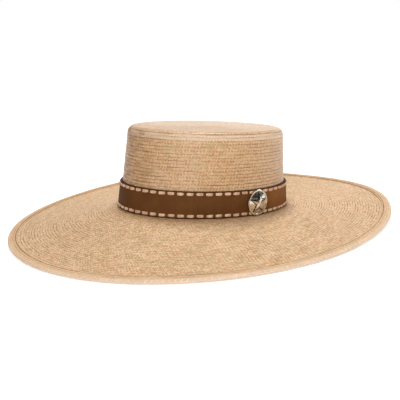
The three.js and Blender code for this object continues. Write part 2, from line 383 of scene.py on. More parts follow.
        # Streaks on one side: partly the leaf's own, partly painted shade for the less lit side.
        shaded_side = maths.band(maths.reach(at.piece, heading(self.shaded_side_degrees)), *self.shaded_side_reach)
        patchy = maths.band(at.streak, *self.patch_reach, 0.0, self.streaks_and_side_shade)
        for share, most, wear_and_painted_light_hex in (
            (painted_light, self.painted_light, self.painted_light_hex),
            (painted_shade_share, before, self.streak_and_shade_hex),
            (shaded_side, patchy, self.streak_and_shade_hex),
        ):
            colour = maths.blend(maths.do("MULTIPLY", share, most), colour, wear_and_painted_light_hex)
        return colour

    def shade(self, maths: Maths, at: BraidPlace) -> NodeSocket:
        """Finds how dark it is between straws and where a row tucks under the next."""
        gape_at = maths.plane(maths.do("MULTIPLY", at.along, self.gape_stretch), at.row)
        gape = maths.noise(gape_at, self.gape_scale, noise_dimensions="2D")
        marked = maths.do("COMPARE", at.row, float(self.marked_row), 0.5)
        gapes = maths.do("MAXIMUM", marked, maths.band(gape, *self.gape_reach))
        stretch = maths.do("FLOOR", maths.do("DIVIDE", at.along, self.dash_length))
        dash_row = maths.do("FLOOR", maths.do("DIVIDE", at.across, self.dash_rows))
        dash = maths.own_value(stretch, dash_row)
        dashes = maths.band(dash, *self.dash_reach, 0.0, self.dash_line)
        line = maths.do("MULTIPLY_ADD", gapes, self.gape_line, maths.do("ADD", dashes, self.row_line))
        tucked = maths.do("MULTIPLY", maths.band(at.in_row, *self.row_line_reach), line)
        gaping = maths.band(dash, *self.marked_dash_reach, 0.0, self.marked_line)
        gaping = maths.do("MULTIPLY", maths.band(at.in_row, *self.marked_line_reach), gaping)
        tucked = maths.do("MAXIMUM", tucked, maths.do("MULTIPLY", marked, gaping))
        between = maths.do("MULTIPLY", maths.do("POWER", at.straw_side, 4.0), self.straw_line)
        return maths.do("MAXIMUM", tucked, between)

    def build(self) -> Material:
        """Builds the material and returns it."""
        material, maths, shader = new_material(self.use.value)
        at = self.find(maths)
        straw_dome = maths.do("SUBTRACT", 1.0, maths.do("POWER", at.straw_side, 3.0))
        row_dome = maths.do("SUBTRACT", 1.0, maths.do("POWER", maths.off_middle(at.in_row), 6.0))
        height = maths.do("MULTIPLY", straw_dome, row_dome)
        straw = self.painted_light_and_shade(maths, at, self.leaf(maths, at))
        inputs = {
            "Base Color": maths.blend(self.shade(maths, at), straw, self.shade_hex),
            "Roughness": self.roughness,
            "Specular IOR Level": self.shine,
        }
        feed(maths, shader, height, self.straw_relief, 0.8, inputs)
        return material


@dataclass(frozen=True)
class StrapLeather:
    """Brown vegetable-tanned cowhide strap, oiled, with burnished edges.

    The eye sees a fine pebbled grain, cloudy browns and a soft shine that breaks up over the grain, with a
    lighter stretch past the button. Its map runs across the strap, 0 at one edge and 1 at
    the other, for the darker burnished edges.
    """

    brown_hex: str = "664221"
    deep_hex: str = "5e3a1b"
    edge_hex: str = "472a11"
    edge_reach: Reach = (0.93, 0.99)
    # the strap turns lighter along the stretch past the button
    past_button_hex: str = "86582d"
    past_button_degrees: float = 125
    past_button_reach: Reach = (73 * MM, 85 * MM)
    cloud_scale: float = 60.0
    pore: float = 0.8 * MM
    pore_share: float = 0.35
    grain_relief: float = 0.15 * MM
    gloss: Reach = (0.6, 0.72)
    shine: float = 0.08

    def build(self) -> Material:
        """Builds the material and returns it."""
        material, maths, shader = new_material("brown_strap_leather")
        place = maths.on_piece()
        cloud = maths.noise(place, self.cloud_scale, 4.0)
        fine = maths.noise(place, 2.5 / self.pore, 3.0)
        pores = {"Vector": place, "Scale": 1 / self.pore}
        grain = add_node(maths.tree, "TexVoronoi", pores).outputs[0]
        face = maths.blend(maths.band(cloud, 0.35, 0.65), self.deep_hex, self.brown_hex)
        for share, other_hex in (
            (maths.band(grain, 0.2, 0.75, 0.0, self.pore_share), self.deep_hex),
            # lighter towards the stretch past the button
            (maths.band(maths.reach(place, heading(self.past_button_degrees)), *self.past_button_reach), self.past_button_hex),
            (maths.band(maths.off_middle(maths.on_map()[1]), *self.edge_reach), self.edge_hex),
        ):
            face = maths.blend(share, face, other_hex)
        height = maths.do("MULTIPLY_ADD", fine, 0.4, maths.do("MULTIPLY", grain, -0.6))
        gloss = maths.band(cloud, 0.3, 0.7, *self.gloss)
        inputs = {"Base Color": face, "Roughness": gloss, "Specular IOR Level": self.shine}
        feed(maths, shader, height, self.grain_relief, 0.5, inputs)
        return material


@dataclass(frozen=True)
class LaceLeather:
    """Pale lace cut from thin split leather, with a smooth, dry face.

    The eye sees a matt pinkish beige that is cloudy where fingers pulled it tight.
    """

    pale_hex: str = "e0bd9e"
    wear_and_painted_light_hex: str = "b98f70"
    cloud_scale: float = 180.0
    fibre_scale: float = 1800.0
    fibre_relief: float = 0.08 * MM
    roughness: float = 0.62

    def build(self) -> Material:
        """Builds the material and returns it."""
        material, maths, shader = new_material("pale_lace_leather")
        place = maths.on_piece()
        cloud = maths.noise(place, self.cloud_scale, 3.0)
        fibre = maths.noise(place, self.fibre_scale)
        face = maths.blend(maths.band(cloud, 0.3, 0.65), self.wear_and_painted_light_hex, self.pale_hex)
        inputs = {"Base Color": face, "Roughness": self.roughness}
        feed(maths, shader, fibre, self.fibre_relief, 0.5, inputs)
        return material


class SilverWear(Enum):
    """How a silver surface has aged: its name, colour and roughness."""

    POLISHED = ("polished_silver", "d8d0c4", 0.16)
    OXIDISED = ("oxidised_silver", "1f1b18", 0.5)
    DULL = ("dull_silver", "8e857a", 0.4)


@dataclass(frozen=True)
class Silver:
    """Silver plate, polished on the high parts and black with oxide where a cloth doesn't reach.

    The eye sees the room mirrored in it, a little hazy and rippled by fine dents.
    """

    wear: SilverWear
    haze_scale: float = 300.0
    haze_share: float = 0.75
    dent_scale: float = 420.0
    dent_relief: float = 0.1 * MM

    def build(self) -> Material:
        """Builds the material and returns it."""
        name, colour_hex, roughness = self.wear.value
        material, maths, shader = new_material(name)
        place = maths.on_piece()
        haze = maths.noise(place, self.haze_scale, 3.0)
        dents = maths.noise(place, self.dent_scale, 1.0)
        bright = linear(colour_hex)
        hazy = (*[self.haze_share * channel for channel in bright[:3]], 1.0)
        inputs = {
            "Base Color": maths.blend(maths.band(haze, 0.35, 0.6), hazy, bright),
            "Roughness": maths.band(haze, 0.3, 0.7, 0.8 * roughness, 1.4 * roughness),
            "Metallic": 1.0,
        }
        feed(maths, shader, dents, self.dent_relief, 0.2, inputs)
        return material


@dataclass(frozen=True)
class Wave:
    """One gentle wave of the brim's edge."""

    lobes: int
    height: float
    crest_degrees: float

    def lift(self, angles: np.ndarray) -> np.ndarray:
        """Returns how far the wave lifts the edge at each angle."""
        return self.height * np.cos(self.lobes * (angles - math.radians(self.crest_degrees)))


@dataclass(frozen=True)
class HatForm:
    """The hat's form, with the sizes that its solids have."""

    head_length: float = 192 * MM
    head_width: float = 157 * MM
    straw: float = 1.9 * MM
    crown_height: float = 86.5 * MM
    crown_top_length: float = 174 * MM
    crown_top_width: float = 168 * MM
    shoulder_radius: float = 7 * MM
    lean: float = math.radians(6)
    setback: float = 2.5 * MM
    foot_height: float = 15.7 * MM
    brim_width: float = 116.8 * MM
    edge_straw: float = 1.2 * MM
    brim_dish: float = 1.25
    collar_height: float = 9 * MM
    break_radius: float = 3.5 * MM
    hem_width: float = 8 * MM
    hem_wall: float = 1 * MM
    gap: float = 0.3 * MM
    waves: tuple[Wave, ...] = (
        Wave(1, 1.2 * MM, 180),
        Wave(2, 0.9 * MM, 110),
        Wave(3, 1.25 * MM, 10),
        Wave(4, 0.9 * MM, 54),
    )

    @property
    def lap(self) -> float:
        """Thickness of the collar and the crown's wall together."""
        return 2 * self.straw + self.gap

    @property
    def hem_half_height(self) -> float:
        """Half the hem's thickness."""
        return self.edge_straw / 2 + self.gap + self.hem_wall

    @property
    def sheet_width(self) -> float:
        """Width of the brim that the hem leaves bare."""
        return self.brim_width - self.hem_width

    def half_axes(self, height: Any) -> np.ndarray:
        """Returns half lengths and half widths outside the crown's wall at heights above its foot."""
        share = np.atleast_1d(height) / self.crown_height
        foot = np.array([[self.head_length / 2 + self.lap], [self.head_width / 2 + self.lap]])
        top = np.array([[self.crown_top_length / 2], [self.crown_top_width / 2]])
        return (1 - share) * foot + share * top

    def leaning(self, points: np.ndarray) -> np.ndarray:
        """Moves points from the crown's own frame, which leans back, to the table's frame."""
        x, y, z = points.T
        cos, sin = math.cos(self.lean), math.sin(self.lean)
        return np.stack([x, self.setback + y * cos + z * sin, self.foot_height - y * sin + z * cos], axis=1)

    def oval(self, angles: np.ndarray, half_axes: Any, offset: Any, height: Any) -> np.ndarray:
        """Returns points of an oval moved out by an offset, one for each angle."""
        half_length, half_width = half_axes
        level = np.broadcast_to(height, angles.shape)
        x = (half_width + offset) * np.sin(angles)
        y = -(half_length + offset) * np.cos(angles)
        return np.stack([x, y, level], axis=1)

    def crown_ring(self, angles: np.ndarray, offset: Any, height: Any) -> np.ndarray:
        """Returns a ring around the crown, moved out from its wall by an offset, in the table's frame."""
        return self.leaning(self.oval(angles, self.half_axes(height), offset, height))

    def edge_height(self, angles: np.ndarray) -> np.ndarray:
        """Returns the height of the middle of the brim's edge above the table at each angle."""
        flats = np.radians(np.arange(0, 360, 5))
        trough = sum(wave.lift(flats) for wave in self.waves).min()
        return self.hem_half_height + sum(wave.lift(angles) for wave in self.waves) - trough

    def brim_ring(self, angles: np.ndarray, distance: float, height: float = 0.0) -> np.ndarray:
        """Returns a ring of the brim, a distance out from the crown's foot and a height off its middle."""
        share = distance / self.brim_width
        foot = self.crown_ring(angles, 0.0, -self.gap - self.straw / 2)
        edge = self.oval(angles, self.half_axes(0.0), self.brim_width, self.edge_height(angles))
        ring = foot + share * (edge - foot)
        drop = max(0.0, 1 - share) ** self.brim_dish
        ring[:, 2] = edge[:, 2] + (foot[:, 2] - edge[:, 2]) * drop + height
        return ring

    def brim_straw(self, distance: float) -> float:
        """Returns the brim's thickness a distance out from the crown's foot."""
        share = min(1.0, distance / self.sheet_width)
        return (1 - share) * self.straw + share * self.edge_straw

    def walk(self, start: float, offset: float, height: float) -> tuple[np.ndarray, np.ndarray]:
        """Walks along a ring around the crown, and returns fine angles and the length up to each."""
        fine = start + np.linspace(0.0, TURN, 20001)
        points = self.oval(fine, self.half_axes(height), offset, height)
        return fine, np.concatenate([[0.0], np.cumsum(np.linalg.norm(np.diff(points, axis=0), axis=1))])

    def even_angles(self, start: float, count: int, offset: float, height: float) -> np.ndarray:
        """Spaces angles evenly along a ring around the crown.

        Args:
            start: The first angle.
            count: Steps around the hat.
            offset: Distance of the ring from the crown's wall.
            height: Height of the ring above the crown's foot.

        Returns:
            One angle more than the count: the last is the first a whole turn on.
        """
        fine, walked = self.walk(start, offset, height)
        return np.interp(np.linspace(0.0, walked[-1], count + 1), walked, fine)


def full_turn(columns: int) -> np.ndarray:
    """Returns even angles around the hat, the last a whole turn on from the first."""
    return np.linspace(0.0, TURN, columns + 1)


class Rings:
    """A surface laid out as rings around the hat, with strips of faces between them."""

    def __init__(self, angles: np.ndarray, pitch: float) -> None:
        """Starts an empty surface.

        Args:
            angles: The angle of each column of points. The last is the first a whole turn on.
            pitch: Length along a ring that one unit of the map stands for.
        """
        self.angles = angles
        self.pitch = pitch
        self.rings: list[np.ndarray] = []
        self.marks: list[tuple[int, float]] = []

    def add(self, ring: np.ndarray, row: int = 0, share: float = 0.0) -> None:
        """Adds a ring at a share of the way across a row of the map."""
        self.rings.append(ring)
        self.marks.append((row, share))

    def roll_up(self, name: str, sharp_degrees: float = 40) -> Object:
        """Lays a flat grid along the rings, closes its seam and its middle, and returns the object."""
        columns = len(self.angles) - 1
        strips = len(self.rings) - 1
        sizes = {"x_subdivisions": columns, "y_subdivisions": strips, "size": 1.0}
        sheet = add_mesh(bpy.ops.mesh.primitive_grid_add, **sizes)
        sheet.name = name
        mesh = sheet.data
        mesh.name = name
        flat = np.empty(3 * len(mesh.vertices))
        mesh.vertices.foreach_get("co", flat)
        column = np.rint((flat[0::3] + 0.5) * columns).astype(int)
        ring = np.rint((flat[1::3] + 0.5) * strips).astype(int)
        mesh.vertices.foreach_set("co", np.array(self.rings)[ring, column].ravel())
        corners = np.empty(len(mesh.loops), dtype=np.int32)
        mesh.loops.foreach_get("vertex_index", corners)
        corners = corners.reshape(-1, 4)
        layer = mesh.uv_layers.active
        layer.name = ROWS_MAP
        layer.data.foreach_set("uv", self.map_corners(column[corners] / columns, ring[corners]).ravel())
        with editing():
            bpy.ops.mesh.remove_doubles(threshold=1e-6)
            bpy.ops.mesh.normals_make_consistent(inside=False)
        bpy.ops.object.shade_smooth_by_angle(angle=math.radians(sharp_degrees))
        return sheet

    def map_corners(self, turns: np.ndarray, rings: np.ndarray) -> np.ndarray:
        """Places faces on the map.

        Args:
            turns: Share of a turn at each corner of each face.
            rings: Ring number at each corner of each face.

        Returns:
            Straws along the row and rows across it, for each corner. A small riser between two rows takes
            the edge of the row that it rises to.
        """
        rows = np.array([row for row, _ in self.marks])
        shares = np.array([share for _, share in self.marks])
        lengths = np.array([np.linalg.norm(np.diff(points, axis=0), axis=1).sum() for points in self.rings])
        mean_length = {row: lengths[rows == row].mean() for row in np.unique(rows)}
        counts = np.array([max(1, round(mean_length[row] / self.pitch)) for row in rows])
        strip = rings.min(axis=1)
        low = np.where(rows[strip] == rows[strip + 1], shares[strip], shares[strip + 1])
        high = shares[strip + 1]
        share = np.where(rings == strip[:, None], low[:, None], high[:, None])
        inside = 0.001 + 0.998 * share
        return np.stack([turns * counts[strip + 1][:, None], rows[strip + 1][:, None] + inside], axis=2)


def finish_piece(
    piece: Object, material: Material | None, slot: str, *nodes: str
) -> None:
    """Dresses a finished piece and lets it ride on the hat.

    Args:
        piece: The piece, with its place in its mesh.
        material: Its finish, or nothing when its faces have theirs.
        slot: The record's material slot that it belongs to; not used.
        nodes: The solids that it stands for.
    """
    if material:
        piece.data.materials.append(material)
    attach(piece, "root")
    if nodes:
        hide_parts(*nodes)
    LOG.info("%s: %d faces, stands for %s", piece.name, len(piece.data.polygons), ", ".join(nodes))


@dataclass(frozen=True)
class BraidRows:
    """Overlapping rows of braid, as heights over a smooth surface.

    The straw pitch is along a row. The hidden side has a share of the relief.
    """

    pitch: float = 3.4 * MM
    proud: float = 0.2 * MM
    sunk: float = 0.15 * MM
    straw_pitch: float = 1.6 * MM
    under_share: float = 0.5
    bends: tuple[tuple[float, float], ...] = ((0.0, 0.7), (0.2, 1.0), (0.65, 0.55), (1.0, 0.0))

    def stations(self, length: float) -> list[tuple[float, float, int, float]]:
        """Lists the bends of all the rows on a surface.

        Args:
            length: The surface's length across the rows.

        Returns:
            Share of the length, height off the surface, row number and share of the row, for each bend.
        """
        count = round(length / self.pitch)
        return [
            ((row + at) / count, (self.proud + self.sunk) * lift - self.sunk, row, at)
            for row in range(count)
            for at, lift in self.bends
        ]


@dataclass
class Crown:
    """The crown: a leaning wall, a rounded shoulder and a flat tip, all of sewn rows."""

    form: HatForm
    rows: BraidRows = BraidRows()
    columns: int = 144
    tip_relief: float = 0.2

    @property
    def tip_reach(self) -> float:
        """Mean distance from the shoulder to the middle of the flat tip."""
        return float(self.form.half_axes(self.form.crown_height).mean()) - self.form.shoulder_radius

    @property
    def face_length(self) -> float:
        """Length of the outer face from the foot to the middle of the tip."""
        radius = self.form.shoulder_radius
        return self.form.crown_height - radius + radius * math.pi / 2 + self.tip_reach

    @property
    def shoulder_row(self) -> int:
        """The row that ends at the shoulder's upper half, where the tip was joined to the wall."""
        joint = self.form.crown_height - 0.25 * self.form.shoulder_radius
        return round(joint / self.face_length * round(self.face_length / self.rows.pitch)) - 1

    def relief(self, along: float) -> float:
        """Returns how much of the rows' relief is left: the tip was pressed flat on its block."""
        form = self.form
        wall = form.crown_height - form.shoulder_radius
        shoulder = (wall, wall + form.shoulder_radius * math.pi / 2)
        return float(np.interp(along, shoulder, (1.0, self.tip_relief)))

    def ring(self, angles: np.ndarray, along: float, depth: float) -> np.ndarray:
        """Places a ring of the crown.

        Args:
            angles: The angle of each point.
            along: Distance from the foot along the outer face.
            depth: Depth under the outer face.

        Returns:
            The ring's points in the table's frame.
        """
        form = self.form
        radius = form.shoulder_radius
        wall = form.crown_height - radius
        turn = min(max(0.0, (along - wall) / radius), math.pi / 2)
        height = min(along, wall) + (radius - depth) * math.sin(turn)
        inset = depth * math.cos(turn) + radius * (1 - math.cos(turn))
        share = max(0.0, 1 - max(0.0, along - wall - radius * math.pi / 2) / self.tip_reach)
        half_axes = share * (form.half_axes(min(height, form.crown_height)) - inset)
        return form.leaning(form.oval(angles, half_axes, 0.0, height))

    def build(self, material: Material) -> None:
        """Builds the crown."""
        cloth = Rings(full_turn(self.columns), self.rows.straw_pitch)
        stations = self.rows.stations(self.face_length)
        outside_rows = 1 + stations[-1][2]
        for share, lift, row, at in reversed(stations):
            along = share * self.face_length
            depth = self.form.straw - self.rows.under_share * lift * self.relief(along)
            cloth.add(self.ring(cloth.angles, along, depth), outside_rows + row, at)
        for share, lift, row, at in stations:
            along = share * self.face_length
            cloth.add(self.ring(cloth.angles, along, -lift * self.relief(along)), row, at)
        finish_piece(cloth.roll_up("straw_crown"), material, "straw", "crown")


@dataclass
class Brim:
    """The brim: sewn rows that slope to the table and turn up inside the crown."""

    form: HatForm
    rows: BraidRows = BraidRows(pitch=2.9 * MM, proud=0.15 * MM, sunk=0.1 * MM)
    columns: int = 180

    @property
    def row_count(self) -> int:
        """How many rows the brim's upper face has."""
        return round(self.form.sheet_width / self.rows.pitch)

    def build(self, material: Material) -> None:
        """Builds the brim."""
        form = self.form
        cloth = Rings(full_turn(self.columns), self.rows.straw_pitch)
        stations = self.rows.stations(form.sheet_width)
        row_count = self.row_count
        half_edge = form.edge_straw / 2
        cloth.add(form.brim_ring(cloth.angles, form.brim_width, half_edge), 0, 0.0)
        for share, lift, row, at in stations:
            distance = (1 - share) * form.sheet_width
            rise = form.brim_straw(distance) / 2 + lift
            cloth.add(form.brim_ring(cloth.angles, distance, rise), row, at)
        for number, (offset, height) in enumerate(self.collar()):
            row, at = divmod(number, 2)
            cloth.add(form.crown_ring(cloth.angles, offset, height), row_count + row, at)
        under_row = row_count + len(self.collar()) // 2 + 1
        for share, lift, row, at in reversed(stations):
            distance = (1 - share) * form.sheet_width
            depth = -form.brim_straw(distance) / 2 - self.rows.under_share * lift
            cloth.add(form.brim_ring(cloth.angles, distance, depth), under_row + row, at)
        cloth.add(form.brim_ring(cloth.angles, form.brim_width, -half_edge), under_row, 0.0)
        cloth.add(form.brim_ring(cloth.angles, form.brim_width, half_edge), under_row, 0.1)
        finish_piece(cloth.roll_up("straw_brim"), material, "straw", "brim")

    def collar(self) -> list[tuple[float, float]]:
        """Lists offset and height of the collar's section, up its outside, over and down its inside."""
        form = self.form
        outside = -form.straw - form.gap
        round_end = 0.3 * form.straw
        turn_centre = -form.gap - form.straw + form.break_radius
        turn = [
            (
                -form.lap + form.break_radius * (1 + math.cos(bend)),
                turn_centre + form.break_radius * math.sin(bend),
            )
            for bend in np.linspace(math.pi, 1.5 * math.pi, 5)
        ]
        return [
            (outside, -form.gap),
            (outside, form.collar_height - round_end),
            (outside - round_end, form.collar_height),
            (-form.lap + round_end, form.collar_height),
            (-form.lap, form.collar_height - round_end),
            *turn,
        ]


@dataclass
class Hem:
    """The hem: the last row of braid, folded round the brim's edge and sewn down in a shallow groove."""

    form: HatForm
    straw_pitch: float = 2.6 * MM
    columns: int = 240
    row_pitch: float = 3 * MM
    groove_at: float = 1.9 * MM
    groove_half: float = 0.7 * MM
    groove_depth: float = 0.25 * MM
    seam_row: int = 1
    rim_row: int = 4

    def build(self, material: Material) -> None:
        """Builds the hem."""
        cloth = Rings(full_turn(self.columns), self.straw_pitch)
        for distance, height, row, at in self.section():
            cloth.add(self.form.brim_ring(cloth.angles, distance, height), row, at)
        finish_piece(cloth.roll_up("straw_hem", sharp_degrees=50), material, "straw", "brim_edge")

    def face(self, side: int) -> list[tuple[float, float, int, float]]:
        """Lists the bends of the hem's upper or lower face, from its inner edge outwards."""
        inner = self.form.sheet_width
        top = self.form.hem_half_height
        first = self.seam_row if side > 0 else self.rim_row + 1
        groove = inner + self.groove_at
        rows = (
            (inner, -0.45 * MM, 0, 0.0),
            (inner + 0.35 * MM, -0.05 * MM, 0, 0.1),
            (groove - self.groove_half, 0.0, 0, 0.6),
            (groove, -self.groove_depth, 0, 0.95),
            (groove + self.groove_half, 0.0, 0, 1.0),
            (groove + 1.1 * self.groove_half, 0.0, 1, 0.2),
            (groove + self.row_pitch, -0.05 * MM, 1, 1.0),
            (groove + self.row_pitch + 0.2 * MM, 0.0, 2, 0.1),
            (self.form.brim_width, 0.0, 2, 0.9),
        )
        return [(distance, side * (top + rise), first + row, at) for distance, rise, row, at in rows]

    def section(self) -> list[tuple[float, float, int, float]]:
        """Lists distance, height, row and share of the row for the closed section."""
        form = self.form
        outer = form.brim_width + form.gap
        slot = form.edge_straw / 2 + form.gap
        thick = form.hem_half_height
        arc = [
            (outer + thick * math.sin(bend), thick * math.cos(bend), self.rim_row, bend / math.pi)
            for bend in np.linspace(0.0, math.pi, 9)
        ]
        inside = [
            (form.sheet_width, -slot, 0, 0.1),
            (outer, -slot, 0, 0.4),
            (outer, slot, 0, 0.6),
            (form.sheet_width, slot, 0, 0.9),
        ]
        upper = self.face(1)
        return [*upper, *arc, *reversed(self.face(-1)), *inside, upper[0]]


@dataclass(frozen=True)
class Lacing:
    """One row of running stitches: its height above the crown's foot and the angle of one gap."""

    name: str
    height: float
    gap_degrees: float


@dataclass
class HatBand:
    """The leather band and the two flat laces stitched through it."""

    form: HatForm
    height: float = 27 * MM
    leather: float = 2.4 * MM
    lace_width: float = 3.1 * MM
    lace_thickness: float = 0.9 * MM
    lace_inset: float = 2.5 * MM
    lace_proud: float = 0.8 * MM
    stitch_pitch: float = 9.9 * MM
    stitch_share: float = 0.68
    steps_per_stitch: int = 14
    groove_depth: float = 0.25 * MM
    slit_depth: float = 0.9 * MM
    slit_half: float = 0.55 * MM
    groove_lip: float = 0.6 * MM
    edge_round: float = 0.6 * MM
    dive_share: float = 0.8
    end_taper: float = 0.3
    stitch_sway: float = 0.1 * MM
    sway_turns: Reach = (2.4, 3.9)

    @property
    def face(self) -> float:
        """Offset of the leather's outer face from the crown's wall."""
        return self.form.gap + self.leather

    @property
    def lacings(self) -> tuple[Lacing, Lacing]:
        """The lower and the upper row of stitches."""
        foot = self.form.gap
        return (
            Lacing("lower_lace", foot + self.lace_inset, 8),
            Lacing("upper_lace", foot + self.height - self.lace_inset, 6),
        )

    def stitch_count(self, lacing: Lacing) -> int:
        """Returns how many stitches go round the hat."""
        _, walked = self.form.walk(0.0, self.face, lacing.height)
        return round(walked[-1] / self.stitch_pitch)

    def stitch_phase(self, lacing: Lacing, angles: np.ndarray) -> np.ndarray:
        """Returns how far each angle is from the middle of the nearest stitch, as a share of the pitch."""
        count = self.stitch_count(lacing)
        start = math.radians(lacing.gap_degrees)
        knots = self.form.even_angles(start, 1000, self.face, lacing.height)
        walked = np.interp((angles - start) % TURN, knots - start, np.linspace(0.0, count, len(knots)))
        return walked % 1.0 - 0.5

    def build_band(self, material: Material) -> None:
        """Builds the leather band."""
        form = self.form
        columns = self.stitch_count(self.lacings[0]) * self.steps_per_stitch
        angles = form.even_angles(0.0, columns, self.face, form.gap + self.height / 2)
        foot = form.gap
        top = foot + self.height
        turn = self.edge_round
        half = self.lace_width / 2
        section = [(form.gap, foot + turn), (form.gap + turn, foot), (self.face - turn, foot)]
        section += [(self.face - 0.3 * turn, foot + 0.3 * turn), (self.face, foot + turn)]
        for lacing in self.lacings:
            from_stitch = np.abs(self.stitch_phase(lacing, angles)) - self.stitch_share / 2
            slit = self.slit_depth * np.exp(-((from_stitch * self.stitch_pitch / self.slit_half) ** 2))
            pressed = np.maximum(slit, self.groove_depth * (from_stitch < 0.05))
            lip = half + self.groove_lip
            section.append((self.face, lacing.height - lip))
            for step in np.linspace(-half, half, 5):
                section.append((self.face - pressed, lacing.height + step))
            section.append((self.face, lacing.height + lip))
        section += [(self.face, top - turn), (self.face - 0.3 * turn, top - 0.3 * turn)]
        section += [(self.face - turn, top), (form.gap + turn, top), (form.gap, top - turn)]
        strap = Rings(angles, self.height)
        for offset, height in [*section, section[0]]:
            strap.add(form.crown_ring(angles, offset, height), 0, (height - foot) / self.height)
        finish_piece(strap.roll_up("leather_band", sharp_degrees=60), material, "band_leather", "hat_band")

    def build_lace(self, lacing: Lacing, material: Material) -> None:
        """Builds one lace, each stitch a flat hump that dives through the leather at both ends."""
        form = self.form
        columns = self.stitch_count(lacing) * self.steps_per_stitch
        angles = form.even_angles(math.radians(lacing.gap_degrees), columns, self.face, lacing.height)
        phase = (np.arange(columns + 1) / self.steps_per_stitch) % 1.0 - 0.5
        reach = np.minimum(1.0, np.abs(phase) / (self.stitch_share / 2))
        dive = self.lace_proud + self.dive_share * self.lace_thickness
        outer = self.face + self.lace_proud - dive * reach**9
        half = self.lace_width / 2 * (1 - self.end_taper * reach**4)
        stitch = np.arange(columns + 1) // self.steps_per_stitch % self.stitch_count(lacing)
        shift, slope = (np.sin(turn * stitch) for turn in self.sway_turns)
        sway = self.stitch_sway * (shift + phase * slope * 2)
        section = [(-1.0, 0.5), (-0.84, 0.1), (-0.35, 0.0), (0.35, 0.0)]
        section += [(0.84, 0.1), (1.0, 0.5), (0.84, 0.95), (-0.84, 0.95), (-1.0, 0.5)]
        strip = Rings(angles, self.stitch_pitch)
        for step, depth in section:
            level = lacing.height + step * half + sway
            offset = outer - depth * self.lace_thickness
            strip.add(form.crown_ring(angles, offset, level), 0, 0.5 + step / 2)
        piece = strip.roll_up(f"stitched_{lacing.name}", sharp_degrees=70)
        finish_piece(piece, material, "lace_leather", lacing.name)

    def build(self, strap: Material, lace: Material) -> None:
        """Builds the band and its laces."""
        self.build_band(strap)
        for lacing in self.lacings:
            self.build_lace(lacing, lace)


